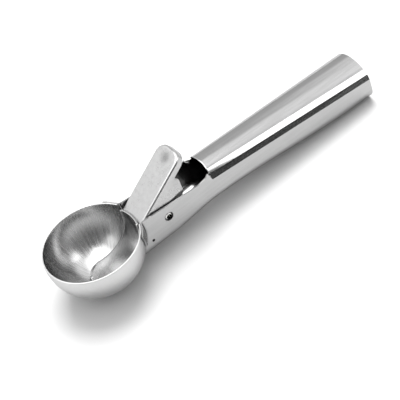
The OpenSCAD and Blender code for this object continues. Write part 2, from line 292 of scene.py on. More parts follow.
def steel(name, shade, roughness, grain_mm, length_mm, depth_mm, lay="along", wear=0.05,
          dimple_shade=None):
    """Stainless sheet with brushing. lay says how the strokes lie: along the scoop, on the
    ball's meridians from rim to pole, or every way. wear is how far the tone varies. The last
    argument is the middle of a spot of painted shade, standing in for a dimple's shade, and its
    radius in mm."""
    material = bpy.data.materials.new(name)
    material.use_nodes = True
    tree = material.node_tree
    tree.nodes.clear()
    place = add(tree, "ShaderNodeTexCoord").outputs["Object"]
    if lay == "meridian":
        ball = add(tree, "ShaderNodeMapping", {"Location": (MIDDLE / 1000, 0, -mm(BALL_R))},
                   {"Vector": place}).outputs["Vector"]
        part = add(tree, "ShaderNodeSeparateXYZ", (), {"Vector": ball})
        turn = add(tree, "ShaderNodeMath", (), {0: part.outputs["Y"], 1: part.outputs["X"]},
                   operation="ARCTAN2").outputs[0]
        # One radian is the ball's radius long at its widest
        turn = add(tree, "ShaderNodeMath", {1: mm(BALL_R)}, {0: turn},
                   operation="MULTIPLY").outputs[0]
        strokes = add(tree, "ShaderNodeCombineXYZ", (),
                      {"X": part.outputs["Z"], "Y": turn}).outputs["Vector"]
    else:
        strokes = place
    long_scale = 1000 / length_mm if lay != "every way" else 1000 / grain_mm
    fine = add(tree, "ShaderNodeMapping",
               {"Scale": (long_scale, 1000 / grain_mm, 1000 / grain_mm)},
               {"Vector": strokes}).outputs["Vector"]
    grain = add(tree, "ShaderNodeTexNoise", {"Scale": 1.0, "Detail": 4.0, "Roughness": 0.6},
                {"Vector": fine}).outputs["Fac"]
    streak = add(tree, "ShaderNodeMapRange", {"From Min": NOISE_LOW, "From Max": NOISE_HIGH},
                 {"Value": grain}, interpolation_type="SMOOTHSTEP").outputs["Result"]
    cloud = add(tree, "ShaderNodeTexNoise", {"Scale": 1000 / CLOUD_MM, "Detail": 1.0},
                {"Vector": place}).outputs["Fac"]
    patchy = add(tree, "ShaderNodeMix", {0: CLOUD_SHARE}, {2: streak, 3: cloud},
                 data_type="FLOAT").outputs[0]
    middle_tone = linear(shade)[:3]
    pale = tuple(min(1.0, c * (1 + wear)) for c in middle_tone) + (1.0,)
    dim = tuple(c * (1 - wear) for c in middle_tone) + (1.0,)
    colour = add(tree, "ShaderNodeMix", {6: dim, 7: pale}, {0: patchy},
                 data_type="RGBA").outputs[2]
    # A spot of painted shade: the colour goes towards black near its middle, standing in for the
    # shade in a dimple
    if dimple_shade:
        middle, radius = dimple_shade
        away = add(tree, "ShaderNodeVectorMath", {1: middle}, {0: place},
                   operation="DISTANCE").outputs["Value"]
        spot = add(tree, "ShaderNodeMapRange",
                   {"From Min": mm(radius), "From Max": 0.0, "To Max": DIMPLE_SHADE_SHARE},
                   {"Value": away}, interpolation_type="SMOOTHSTEP").outputs["Result"]
        colour = add(tree, "ShaderNodeMix", {7: linear("#000000")}, {0: spot, 6: colour},
                     data_type="RGBA").outputs[2]
    rough = add(tree, "ShaderNodeMapRange",
                {"To Min": roughness * (1 - ROUGH_SPREAD),
                 "To Max": roughness * (1 + ROUGH_SPREAD)}, {"Value": patchy})
    shader = add(tree, "ShaderNodeBsdfPrincipled",
                 {"Metallic": 1.0, "Specular Tint": linear("#DADADA")},
                 {"Base Color": colour, "Roughness": rough.outputs["Result"]})
    if depth_mm:
        bump = add(tree, "ShaderNodeBump", {"Strength": 1.0, "Distance": mm(depth_mm)},
                   {"Height": grain})
        tree.links.new(bump.outputs["Normal"], shader.inputs["Normal"])
    add(tree, "ShaderNodeOutputMaterial", (), {"Surface": shader.outputs["BSDF"]})
    return material


# Folded 304 stainless sheet brushed lengthways: strokes some 30 mm long, drawn 1.3 mm apart so
# that they show, which give the flats an even silver gray with long soft streaks.
brushed_sheet = steel("stainless sheet brushed lengthways", "#B0B0B0", 0.13, 1.3, 30, 0.0,
                      "along", 0.06)
# Deep-drawn and spun cup: polishing strokes from rim to pole, drawn 1.3 mm apart so that they
# show, seen as rays round the hollow and a blurred glow at its bottom. Its tone is painted much
# darker than the outside's, as shade for the hollow.
spun_cup_shaded = steel("stainless cup rubbed inside", "#A6A6A6", 0.26, 1.3, 26, 0.0, "meridian",
                 0.17)
# Outside of the same cup, polished after drawing: a soft sheen and no marks that show, in a tone
# painted paler than the inside's to lighten the shadow of the floor that it mirrors.
cup_skin_lightened = steel("stainless cup polished outside", "#CACACA", 0.40, 0.9, 1, 0.0, "every way",
                 0.05)
# Blade: the same stock as the cup with a satin rub along its length, which draws its highlights
# out to soft bands.
satin_blade = steel("stainless blade satin rubbed", "#B4B4B4", 0.20, 1.2, 24, 0.0, "meridian",
                    0.14)
# Pressed lever: blasted satin with no one direction, drawn 2.2 mm across so that it shows as a
# fine mottle, paler than the brushed sheet. The shade in the dimple near its tip is painted on as a
# darker spot.
slope = math.radians(PAD_SLOPE)
thumb_rest = at(BALL_R + (PAD_LENGTH - DIMPLE_BACK) * math.cos(slope), 0,
                PAD_Z + (PAD_LENGTH - DIMPLE_BACK) * math.sin(slope))
satin_press = steel("stainless pressing blasted satin", "#B8B8B8", 0.30, 2.2, 1, 0.012,
                    "every way", 0.07, (thumb_rest, 5.2))
# Turned pin with a burnished end: a sharp glint, painted brighter by a tone paler than the sheet's,
# and hardly any marks.
turned_pin = steel("stainless pin turned and burnished", "#D2D2D0", 0.12, 0.3, 2, 0.001)
# Hard drawn spring wire, a little darker, with die marks along it.
drawn_wire = steel("spring wire hard drawn", "#A9A9A8", 0.22, 0.2, 4, 0.003)


def dress(piece, material, body, *nodes):
    """Gives a piece its finish, the body that it rides on, if it is one, and hides the nodes that
    it takes the place of.
    """
    piece.data.materials.clear()
    piece.data.materials.append(material)
    if body:
        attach(piece, body)
    if nodes:
        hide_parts(*nodes)


# ---------------------------------------------------------------------------------------------
# Handle: one blank of sheet, folded to a channel in front and a closed tube behind
# ---------------------------------------------------------------------------------------------
def tube_part(x):
    return (x - MOUTH_X) / (REAR_X - MOUTH_X)


def underside(x):
    if x < WAIST_X:
        return mix(BELLY_Z, WAIST_Z, ease((x - BELLY_X) / (WAIST_X - BELLY_X)))
    return WAIST_Z * (1 - ease((x - WAIST_X) / (FOOT_X - WAIST_X)))


def half_width(x):
    return mix(NECK_HALF, REAR_HALF, max(0.0, tube_part(x)))


def crown_top(x):
    return mix(MOUTH_Z, REAR_Z, tube_part(x))


def shoulder(x):
    return crown_top(x) - mix(CROWN_FRONT, CROWN_REAR, max(0.0, tube_part(x)))


def corner_r(x):
    return mix(CORNER_FRONT, CORNER_REAR, max(0.0, tube_part(x)))


def bevel_share(x):
    """0 to 1 over the front end of the bevel, which starts a little before the mouth."""
    return ease((x - MOUTH_X + BEVEL_RUN) / BEVEL_RUN)


def lean_in(x):
    return BEVEL_LEAN * bevel_share(x)


def low_crease_z(x):
    return shoulder(x) - BEVEL_HEIGHT * bevel_share(x)


def wall_top(x):
    return (WALL_Z - WALL_FALL * (min(x, SWEEP_X) - BALL_R) / (SWEEP_X - BALL_R)
            + SWEEP_RISE * ease((x - SWEEP_X) / SWEEP_LENGTH))


def crown_arc(x):
    reach, sag = half_width(x) - BEVEL_LEAN, crown_top(x) - shoulder(x)
    r = (reach * reach + sag * sag) / (2 * sag)
    return r, crown_top(x) - r, math.asin(reach / r)


def wall_y(x, z):
    """Half width of the handle's outside at that height, above its lower corner."""
    crease = low_crease_z(x)
    if z <= crease:
        return half_width(x)
    if z <= shoulder(x):
        return half_width(x) - BEVEL_LEAN * (z - crease) / BEVEL_HEIGHT
    r, centre, _ = crown_arc(x)
    bowed_in = half_width(x) - BEVEL_LEAN - math.sqrt(max(0.0, r * r - (z - centre) ** 2))
    # In front of the mouth the wall still stands upright
    return half_width(x) - lean_in(x) - bowed_in * bevel_share(x)


FLOOR_LINES = [0.0, 0.25, 0.5, 0.75]
CORNER_LINES = [90 * i / 9 for i in range(10)]
CREASE_NEAR = 0.22
SLIT_HALF = 0.4
# Heights of the side's lines as shares of the wall, with close pairs at both creases of the bevel
side_low = underside(MOUTH_X) + CORNER_FRONT
side_high = wall_top(MOUTH_X)
low_crease = (shoulder(MOUTH_X) - BEVEL_HEIGHT - side_low) / (side_high - side_low)
high_crease = (shoulder(MOUTH_X) - side_low) / (side_high - side_low)
near = CREASE_NEAR / (side_high - side_low)
wall_foot = BELLY_Z + CORNER_FRONT
slit_low = (RELIEF[1] - SLIT_HALF - wall_foot) / (WALL_Z - wall_foot)
slit_high = (RELIEF[1] + SLIT_HALF - wall_foot) / (WALL_Z - wall_foot)
on_bevel = [mix(low_crease + near, high_crease - near, k / 5) for k in range(1, 5)]
SIDE_LINES = [0.06, slit_low, slit_high, 0.26, 0.36, 0.46, 0.56, 0.65, low_crease - near,
              low_crease, low_crease + near, *on_bevel, high_crease - near, high_crease,
              high_crease + near, 1.0]
first_side = len(FLOOR_LINES) + len(CORNER_LINES)
neck_lines = first_side + len(SIDE_LINES)
tab_line = first_side + 1


def line_point(x, j):
    """Where line j crosses the section at x, as (y, z) on the near side taken positive."""
    w, low, r = half_width(x), underside(x), corner_r(x)
    if j < len(FLOOR_LINES):
        return FLOOR_LINES[j] * (w - r), low
    if j < first_side:
        a = math.radians(CORNER_LINES[j - len(FLOOR_LINES)])
        return w - r + r * math.sin(a), low + r - r * math.cos(a)
    z = mix(low + r, wall_top(x), SIDE_LINES[j - first_side])
    return wall_y(x, z), z


def on_ball(y, z, r=WING_R):
    return math.sqrt(max(0.0, r * r - y * y - (z - BALL_R) ** 2))


BEND_ROUNDS = 30


def bend_point(j):
    """Where line j of the neck meets the ball's skin."""
    x = BALL_R
    # Each round brings x nearer to where the line and the ball agree
    for _ in range(BEND_ROUNDS):
        y, z = line_point(x, j)
        x = on_ball(y, z)
    return x, y, z


# Corners of the tab's and the wing's edges, as (y, z): the tab's flat front, its side, the
# slit, and the wing's low and high front corners
TAB_FRONT, TAB_SIDE, TAB_SLIT = (5.1, 4.2), (12.5, 9.2), (11.3, RELIEF[1] - 0.45)
WING_LOW, WING_HIGH = (19.2, 22.8), (20.0, WALL_Z)
TAB_BOW = 1.2


def flange_end(j):
    """Where the wing or the tab ends on line j, as (y, z)."""
    x, y, z = bend_point(j)
    if j < len(FLOOR_LINES):
        return y * TAB_FRONT[0] / (NECK_HALF - CORNER_FRONT), TAB_FRONT[1]
    if j < first_side:
        t = CORNER_LINES[j - len(FLOOR_LINES)] / 90
        bow = TAB_BOW * math.sin(math.pi * t)
        return (mix(TAB_FRONT[0], TAB_SIDE[0], t) + bow * 0.5,
                mix(TAB_FRONT[1], TAB_SIDE[1], t) - bow)
    if j <= tab_line:
        t = (j - first_side + 1) / 2
        return mix(TAB_SIDE[0], TAB_SLIT[0], t), mix(TAB_SIDE[1], TAB_SLIT[1], t)
    slit_top = RELIEF[1] + SLIT_HALF
    t = (z - slit_top) / (WALL_Z - slit_top)
    return mix(WING_LOW[0], WING_HIGH[0], t), mix(WING_LOW[1], WING_HIGH[1], t)


# Length of the round bend into a flange, and the most that it takes of a short one
BEND, BEND_SHARE = 1.5, 0.4
WING_LIFT = 0.4
FLANGE_STEPS, BEND_STEPS, NECK_STEPS = 8, 6, 50
flange_columns = FLANGE_STEPS + BEND_STEPS
# The neck's columns lie closer together towards the mouth
CLOSER = 1.6


def neck_place(i, j):
    """Column i counts from the flange's edge to the tube's mouth."""
    x, y, z = bend_point(j)
    ye, ze = flange_end(j)
    length = math.dist((x, y, z), (on_ball(ye, ze), ye, ze))
    bend = min(BEND, BEND_SHARE * length)
    start = bend / length

    def flange(t):
        fy, fz = mix(y, ye, t), mix(z, ze, t)
        # The wing's front edge stands a little off the ball
        lift = WING_LIFT * ease((t - 0.5) * 2) if j > tab_line else 0
        return Vector((on_ball(fy, fz, WING_R + lift), fy, fz))

    if i <= FLANGE_STEPS:
        p = flange(mix(1.0, start, i / FLANGE_STEPS))
    elif i <= flange_columns:
        t = (i - FLANGE_STEPS) / BEND_STEPS
        a, q = flange(start), Vector((x, y, z))
        by, bz = line_point(x + bend, j)
        b = Vector((x + bend, by, bz))
        p = a * (1 - t) ** 2 + q * 2 * t * (1 - t) + b * t * t
    else:
        t = 1 - (1 - (i - flange_columns) / NECK_STEPS) ** CLOSER
        px = mix(x + bend, MOUTH_X, t)
        py, pz = line_point(px, j)
        p = Vector((px, py, pz))
    return at(p.x, -p.y, p.z)


neck = blank("neck", flange_columns + NECK_STEPS, neck_lines - 1, neck_place)
# The slit between the wing and the tab runs from the relief hole to their edges
edit(neck)
slit_low_edge, slit_high_edge = ([neck_place(i, j) for i in range(flange_columns + 1)]
                                 for j in (tab_line, tab_line + 1))
middles = [(slit_low_edge[i] + slit_low_edge[i + 1] + slit_high_edge[i] + slit_high_edge[i + 1]) / 4
           for i in range(flange_columns)]
select(neck, "faces", lambda f, c: min((c - m).length for m in middles) < mm(0.02))
bpy.ops.mesh.delete(type="FACE")
done()

mouth_r, mouth_centre, mouth_angle = crown_arc(MOUTH_X)
edge_share = math.acos((wall_top(MOUTH_X) - mouth_centre) / mouth_r) / mouth_angle
# Lines of the crown as shares of its half angle, from the wall's top edge to the middle
CROWN_STEPS = 14
CROWN_LINES = [mix(1.0, edge_share, 0.3), edge_share] + [
    edge_share * (1 - i / CROWN_STEPS) for i in range(1, CROWN_STEPS + 1)]
TUBE_STEPS, MOUTH_STEPS, MOUTH_LENGTH = 52, 16, 5.0
# The mouth's edge is turned in by ROLL_R, from a little above each corner on
ROLL_STEPS, ROLL_R, ROLL_FROM, ROLL_RUN = 4, 0.4, 0.08, 0.4


def tube_place(i, j):
    """Column i counts from the mouth. The first ones lie close, where the edge is turned in."""
    rolled = 0.0
    if i <= ROLL_STEPS:
        turn = math.pi / 2 * i / ROLL_STEPS
        x = MOUTH_X + ROLL_R * (1 - math.cos(turn))
        rolled = ROLL_R * (1 - math.sin(turn))
    elif i <= MOUTH_STEPS:
        x = mix(MOUTH_X + ROLL_R, MOUTH_X + MOUTH_LENGTH,
                (i - ROLL_STEPS) / (MOUTH_STEPS - ROLL_STEPS))
    else:
        x = mix(MOUTH_X + MOUTH_LENGTH, REAR_X, (i - MOUTH_STEPS) / (TUBE_STEPS - MOUTH_STEPS))
    if j < first_side:
        y, z = line_point(x, j)
    elif j < first_side + len(SIDE_LINES) - 2:
        # Flat side and bevel: the creases keep their own lines
        share = SIDE_LINES[j - first_side]
        crease, top = low_crease_z(x), shoulder(x)
        base = underside(x) + corner_r(x)
        if share <= low_crease - near + 1e-9:
            z = mix(base, crease - CREASE_NEAR, share / (low_crease - near))
        elif share <= low_crease + 1e-9:
            z = crease
        elif share <= high_crease - near + 1e-9:
            z = mix(crease + CREASE_NEAR, top - CREASE_NEAR,
                    (share - low_crease - near) / (high_crease - low_crease - 2 * near))
        else:
            z = top
        y = wall_y(x, z)
    else:
        k = j - (first_side + len(SIDE_LINES) - 2)
        radius, centre, angle = crown_arc(x)
        a = angle * CROWN_LINES[k]
        radius -= rolled * ease((edge_share - CROWN_LINES[k] - ROLL_FROM) / ROLL_RUN)
        y, z = radius * math.sin(a), centre + radius * math.cos(a)
    return at(x, -y, z)


tube_lines = first_side + len(SIDE_LINES) - 2 + len(CROWN_LINES)
tube = blank("tube", TUBE_STEPS, tube_lines - 1, tube_place)
handle = join(neck, tube)
close_up(handle, 0.02)
finish_with(handle, "MIRROR", use_axis=(False, True, False), merge_threshold=mm(0.01))
close_up(handle, 0.01)
face_out(handle, at(110, -12, 14), (0, -1, 0))
finish_with(handle, "SOLIDIFY", thickness=mm(SHEET), offset=-1, use_even_offset=True)
# Relief holes at the ends of the slits, and the pin's holes
cut_with(handle, rod("relief drill", *RELIEF_DRILL, RELIEF_R, -THROUGH, THROUGH, 24))
cut_with(handle, rod("pin drill", PIN_X, PIN_Z, PIN_HOLE_R, -THROUGH, THROUGH))
smooth(handle, 40)
handle = settle(handle, "folded_handle")
dress(handle, brushed_sheet, "scoop_frame", "handle")

# ---------------------------------------------------------------------------------------------
# Bowl: a cup turned from its profile, with a rounded rim and the lever's slot
# ---------------------------------------------------------------------------------------------
CUP_STEPS, CUP_TURN_STEPS = 40, 144
rim_angle = math.asin((RIM_Z - BALL_R) / BALL_R)
profile = [(BALL_R * math.cos(a), BALL_R + BALL_R * math.sin(a))
           for a in (mix(-math.pi / 2, rim_angle, i / CUP_STEPS) for i in range(CUP_STEPS))]
inner = BALL_R - BALL_SHEET
rim_out = BALL_R * math.cos(rim_angle)
rim_in = math.sqrt(inner ** 2 - (RIM_Z - BALL_R) ** 2)
# Both corners of the rim are rounded, with one point of the curve between its ends
round_r = BALL_SHEET * 0.45
cut_in = round_r * 0.3
profile += [(rim_out, RIM_Z - round_r), (rim_out - cut_in, RIM_Z - cut_in),
            (rim_out - round_r, RIM_Z), (rim_in + round_r, RIM_Z),
            (rim_in + cut_in, RIM_Z - cut_in), (rim_in, RIM_Z - round_r)]
inner_angle = math.asin((RIM_Z - round_r - BALL_R) / inner)
profile += [(inner * math.cos(a), BALL_R + inner * math.sin(a))
            for a in (mix(inner_angle, -math.pi / 2, i / CUP_STEPS)
                      for i in range(1, CUP_STEPS + 1))]
cup = turned("cup", profile, at(0, 0, 0), (0, 0, 1), CUP_TURN_STEPS)
face_out(cup, at(0, -28, 20), (0, -1, 0))
# The slot in the cup's back, as (y, z): straight sides and two round lower corners
SLOT_TOP, SLOT_FROM, SLOT_REACH, SLOT_STEPS = 40.0, 8.0, 30.0, 16
half_slot = [(SLOT_HALF, SLOT_TOP)]
for i in range(SLOT_STEPS + 1):
    a = math.pi / 2 * i / SLOT_STEPS
    half_slot.append((SLOT_HALF - SLOT_R + SLOT_R * math.cos(a),
                      SLOT_LOW + SLOT_R - SLOT_R * math.sin(a)))
whole_slot = half_slot + [(-y, z) for y, z in reversed(half_slot)]
cut_with(cup, prism("slot tool", [at(SLOT_FROM, y, z) for y, z in whole_slot],
                    (mm(SLOT_REACH), 0, 0)))
smooth(cup, 40)
cup = settle(cup, "ball_cup")
dress(cup, cup_skin_lightened, "scoop_frame", "bowl")
cup.data.materials.append(spun_cup_shaded)
# The faces of the inside take the second material, whose darker tone is painted shade
for face in cup.data.polygons:
    if (face.center - at(0, 0, BALL_R)).length < mm(inner + 0.05):
        face.material_index = 1

# ---------------------------------------------------------------------------------------------
# Thumb lever: the blank of the pad drawn down all round, then trimmed to the webs' outline
# ---------------------------------------------------------------------------------------------
def on_pad(along, across, deep):
    """A point of the lever: along the slope from the ball's back, across, and below the top."""
    return at(BALL_R + along * math.cos(slope) + deep * math.sin(slope), across,
              PAD_Z + along * math.sin(slope) - deep * math.cos(slope))


PAD_BEND = 1.3
PAD_START = -4.0
PAD_ROWS, PAD_COLUMNS = 44, 24
TIP_ROWS = 14


def pad_half(along, inset):
    """Half width of the pad at that distance, its sides and tip moved in by inset."""
    r, tip = TIP_R - inset, PAD_LENGTH - inset
    half = LEVER_HALF - inset
    if along <= tip - r:
        return half
    return half - r + math.sqrt(max(0.0, r * r - (along - tip + r) ** 2))


def dimple(along, across):
    d = math.hypot(along - PAD_LENGTH + DIMPLE_BACK, across) / (DIMPLE_D / 2 + 0.4)
    return DIMPLE_DEPTH * (1 - ease(d)) if d < 1 else 0.0


def pad_place(i, j):
    r, tip = TIP_R - PAD_BEND, PAD_LENGTH - PAD_BEND
    if j <= PAD_ROWS - TIP_ROWS:
        along = mix(PAD_START, tip - r, j / (PAD_ROWS - TIP_ROWS))
    else:
        a = math.pi / 2 * (j - PAD_ROWS + TIP_ROWS) / TIP_ROWS
        along = tip - r + r * math.sin(a)
    half = pad_half(along, PAD_BEND)
    across = mix(-half, half, i / PAD_COLUMNS)
    return on_pad(along, across, dimple(along, across))


pad = blank("pad", PAD_COLUMNS, PAD_ROWS, pad_place)
# The edge, walked round from the front near corner over the tip: its place along and across
# the pad, and which way is out
SIDE_STEPS = 30
walk = []
for k in range(SIDE_STEPS + 1):
    walk.append((mix(PAD_START, PAD_LENGTH - TIP_R, k / SIDE_STEPS), LEVER_HALF - PAD_BEND,
                 0.0, 1.0))
for k in range(1, TIP_ROWS + 1):
    a = math.pi / 2 * k / TIP_ROWS
    r = TIP_R - PAD_BEND
    walk.append((PAD_LENGTH - TIP_R + r * math.sin(a), LEVER_HALF - TIP_R + r * math.cos(a),
                 math.sin(a), math.cos(a)))
whole_walk = [(a, -b, na, -nb) for a, b, na, nb in walk]
tip_cross = [mix(-(LEVER_HALF - TIP_R), LEVER_HALF - TIP_R, k / PAD_COLUMNS)
             for k in range(1, PAD_COLUMNS)]
whole_walk += [(PAD_LENGTH - PAD_BEND, y, 1.0, 0.0) for y in tip_cross]
whole_walk += [(a, b, na, nb) for a, b, na, nb in reversed(walk)]
# How far the edge has gone out and down: a round bend, a short steep slope, then straight down
BEND_R, STEEP, ROUND_STEPS = 1.2, math.radians(62), 6
EASE_OUT, EASE_DOWN = 0.06, 0.25
edge_path = [(BEND_R * math.sin(a), BEND_R * (1 - math.cos(a)))
             for a in (STEEP * k / ROUND_STEPS for k in range(ROUND_STEPS + 1))]
bend_out, bend_down = edge_path[-1]
slope_out = PAD_BEND - EASE_OUT - bend_out
edge_path += [(bend_out + slope_out * k, bend_down + slope_out * k * math.tan(STEEP))
              for k in (0.12, 0.5, 0.88, 1.0)]
straight_from = edge_path[-1][1] + EASE_DOWN
edge_path += [(PAD_BEND, straight_from + drop) for drop in (0.0, 1.5, 3.5, 7.0, 12.0, 18.0, 27.0)]
# Behind WEB_IN_X the webs come together a little as they go down, below WEB_IN_DEEP
WEB_IN, WEB_IN_X, WEB_IN_LENGTH, WEB_IN_DEEP, WEB_IN_DROP = 1.1, 46.0, 10, 3, 6


def skirt_place(i, j):
    along, across, na, nb = whole_walk[i]
    out, deep = edge_path[j]
    x = BALL_R + along * math.cos(slope) + deep * math.sin(slope)
    together = (WEB_IN * ease((x - WEB_IN_X) / WEB_IN_LENGTH)
                * ease((deep - WEB_IN_DEEP) / WEB_IN_DROP))
    return on_pad(along + na * out, across + nb * (out - together), deep)


skirt = blank("skirt", len(whole_walk) - 1, len(edge_path) - 1, skirt_place)
pad = join(pad, skirt)
close_up(pad, 0.02)
face_out(pad, on_pad(15, 0, 0), (-math.sin(slope), 0, math.cos(slope)))
finish_with(pad, "SOLIDIFY", thickness=mm(SHEET), offset=-1, use_even_offset=True)


def pad_xz(along, deep):
    p = on_pad(along, 0, deep)
    return p.x * 1000 + MIDDLE, p.z * 1000


# The outline that is kept, as (x, z): the front end, clear above the pad and past its tip, the
# skirt, the webs' straight back edge and their round foot about the pin
FRONT, FRONT_DEEP, CLEAR = -1.9, 1.8, 3
FOOT_FROM, FOOT_TO, FOOT_STEPS = -25, -150, 16
web_x = PIN_X + WEB_BACK
web_corner = (web_x, pad_xz(SKIRT_START, 2 * SKIRT_DEPTH)[1])
outline = [pad_xz(0, FRONT_DEEP), pad_xz(FRONT, FRONT_DEEP), pad_xz(FRONT, -CLEAR),
           pad_xz(PAD_LENGTH + CLEAR, -CLEAR), pad_xz(PAD_LENGTH + CLEAR, SKIRT_DEPTH),
           pad_xz(SKIRT_START, SKIRT_DEPTH), web_corner, (web_x, PIN_Z + WEB_R)]
outline += [(PIN_X + WEB_R * math.cos(a), PIN_Z + WEB_R * math.sin(a))
            for a in (math.radians(mix(FOOT_FROM, FOOT_TO, i / FOOT_STEPS))
                      for i in range(FOOT_STEPS + 1))]
cut_with(pad, prism("trim", [at(x, -THROUGH, z) for x, z in outline],
                    (0, mm(2 * THROUGH), 0)), "INTERSECT")
put_down()
bpy.ops.mesh.primitive_uv_sphere_add(segments=96, ring_count=48, radius=mm(BLADE_R + 0.04),
                                     location=at(0, 0, BALL_R))
cut_with(pad, settle(bpy.context.object, "ball trim"))
cut_with(pad, rod("web drill", PIN_X, PIN_Z, PIN_R + 0.05, -THROUGH, THROUGH))
smooth(pad, 32)
pad = settle(pad, "pressed_lever")
dress(pad, satin_press, "lever", "thumb_lever")

# ---------------------------------------------------------------------------------------------
# Ejector blade: a tongue of sheet that follows the ball's inside
# ---------------------------------------------------------------------------------------------
tip_centre = BLADE_HALF - BLADE_TIP


def blade_half(x):
    if x >= ROOT_X:
        return ROOT_HALF
    if x >= tip_centre:
        return mix(BLADE_HALF, ROOT_HALF, (x - tip_centre) / (ROOT_X - tip_centre))
    return math.sqrt(max(0.0, BLADE_HALF ** 2 - (x - tip_centre) ** 2))


ROOT_ROWS, TIP_BLADE_ROWS, BLADE_COLUMNS = 40, 24, 22
# The lip fades where the strip's half width gets under LIP_RUN, at its tip
LIP_UP, LIP_OUT, LIP_RUN, BLADE_EDGE = 1.1, 0.5, 4, 0.18
# Angles below the ball's middle, from which and over which the strip gets flat across
FLAT_FROM, FLAT_RUN = math.radians(8), math.radians(22)
widest = math.acos(tip_centre / BLADE_R)


def blade_place(i, j):
    """Row j counts from the root, first along the tapered strip and then round its tip."""
    start = -math.asin((PAD_Z - BALL_R) / BLADE_R)
    if j <= ROOT_ROWS:
        turn = mix(start, widest, j / ROOT_ROWS)
        half = blade_half(BLADE_R * math.cos(turn))
    else:
        b = math.pi / 2 * (j - ROOT_ROWS) / TIP_BLADE_ROWS
        turn = math.acos((tip_centre - BLADE_HALF * math.sin(b)) / BLADE_R)
        half = max(0.05, BLADE_HALF * math.cos(b))
    # The outermost columns are a small lip turned up from the strip's edge
    lip = ease(half / LIP_RUN) if i in (0, BLADE_COLUMNS) else 0.0
    y = mix(-half, half, min(1.0, max(0.0, (i - 1) / (BLADE_COLUMNS - 2))))
    # At its root the strip follows the ball across; below the slot it is bent along its length
    # only, so that its edges lie on the cup and its middle stands off
    edge = BLADE_HALF if turn > widest else blade_half(BLADE_R * math.cos(turn))
    on_cup = math.sqrt(BLADE_R ** 2 - edge ** 2)
    rho = mix(math.sqrt(BLADE_R ** 2 - y * y), on_cup, ease((turn - FLAT_FROM) / FLAT_RUN))
    rho -= LIP_UP * lip
    y += math.copysign(LIP_OUT * lip, y)
    return at(rho * math.cos(turn), y, BALL_R - rho * math.sin(turn))


blade = blank("blade", BLADE_COLUMNS, ROOT_ROWS + TIP_BLADE_ROWS, blade_place)
face_out(blade, at(0, 0, 1), (0, 0, -1))
finish_with(blade, "SOLIDIFY", thickness=mm(BLADE_SHEET), offset=-1, use_even_offset=True)
finish_with(blade, "BEVEL", width=mm(BLADE_EDGE), segments=3, limit_method="ANGLE",
            angle_limit=math.radians(50))
smooth(blade, 40)
blade = settle(blade, "curved_blade")
dress(blade, satin_blade, "lever", "ejector_blade")

# ---------------------------------------------------------------------------------------------
# Pivot pin: turned, with thicker domed ends that lie in the neck's walls, each with a hollow
# ---------------------------------------------------------------------------------------------
END_Y, END_R, END_DROP, END_FROM, SHANK_TO = NECK_HALF - 0.2, 2.0, 0.5, 10.1, 10.0
DOME_STEPS = 10
HOLLOW_R, HOLLOW_X, HOLLOW_Z, HOLLOW_DEPTH = 1.5, PIN_X + 0.1, PIN_Z - 0.34, 6
# Radius and distance from the middle: the domed end, then the shank
pin_half = [(END_R * math.sin(a), END_Y - END_DROP * (1 - math.cos(a)))
            for a in (math.pi / 2 * k / DOME_STEPS for k in range(1, DOME_STEPS + 1))]
pin_half += [(END_R, END_FROM), (PIN_R, SHANK_TO)]
pin_profile = [(0, END_Y)] + pin_half + [(r, -y) for r, y in reversed(pin_half)] + [(0, -END_Y)]
pin = turned("pin", pin_profile, at(PIN_X, 0, PIN_Z), (0, 1, 0), 48)
for side in (-1, 1):
    cut_with(pin, rod("hollow end", HOLLOW_X, HOLLOW_Z, HOLLOW_R,
                      side * END_Y - HOLLOW_DEPTH, side * END_Y + HOLLOW_DEPTH))
smooth(pin, 30)
pin = settle(pin, "turned_pin")
dress(pin, turned_pin, "scoop_frame", "pivot_pin")

# Spacer sleeve: a length of tube round the pin, its ends broken by a small chamfer
SLEEVE_IN, SLEEVE_OUT, SLEEVE_HALF, SLEEVE_EDGE = 2.05, 2.65, 8.15, 0.12
sleeve_half = [(SLEEVE_IN, SLEEVE_HALF - SLEEVE_EDGE), (SLEEVE_IN + SLEEVE_EDGE, SLEEVE_HALF),
               (SLEEVE_OUT - SLEEVE_EDGE, SLEEVE_HALF), (SLEEVE_OUT, SLEEVE_HALF - SLEEVE_EDGE)]
sleeve = turned("sleeve", sleeve_half + [(r, -y) for r, y in reversed(sleeve_half)],
                at(PIN_X, 0, PIN_Z), (0, 1, 0), 48)
smooth(sleeve, 30)
sleeve = settle(sleeve, "tube_spacer")
dress(sleeve, turned_pin, "scoop_frame", "spacer_sleeve")

# ---------------------------------------------------------------------------------------------
# Return spring: one wire, wound round the sleeve, a leg under the pad and one over the floor
# ---------------------------------------------------------------------------------------------
WIRE_R, COIL_TURNS, TURN_PITCH = 0.6, 6, 1.35
COIL_GAP, LEG_GAP, LEG_FOOT, LEG_BEND = 0.3, 0.3, 2.4, 0.4
LOW_LEG, HIGH_LEG = 13.0, 15.0
coil_r = SLEEVE_OUT + COIL_GAP + WIRE_R
low_end = (LOW_LEG, underside(PIN_X + LOW_LEG) + SHEET + LEG_GAP + WIRE_R - PIN_Z)
high_x, high_z = pad_xz(PIN_X - BALL_R + HIGH_LEG, SHEET + LEG_GAP + WIRE_R)
high_end = (high_x - PIN_X, high_z - PIN_Z)


def leaves_coil(point, side):
    """The angle at which a straight leg to the point touches the coil."""
    return math.atan2(point[1], point[0]) + side * math.acos(coil_r / math.hypot(*point))


coil_start = leaves_coil(low_end, -1)
coil_end = leaves_coil(high_end, 1) - 2 * math.pi * COIL_TURNS
half_coil = TURN_PITCH * (coil_start - coil_end) / (4 * math.pi)
COIL_STEPS = 180
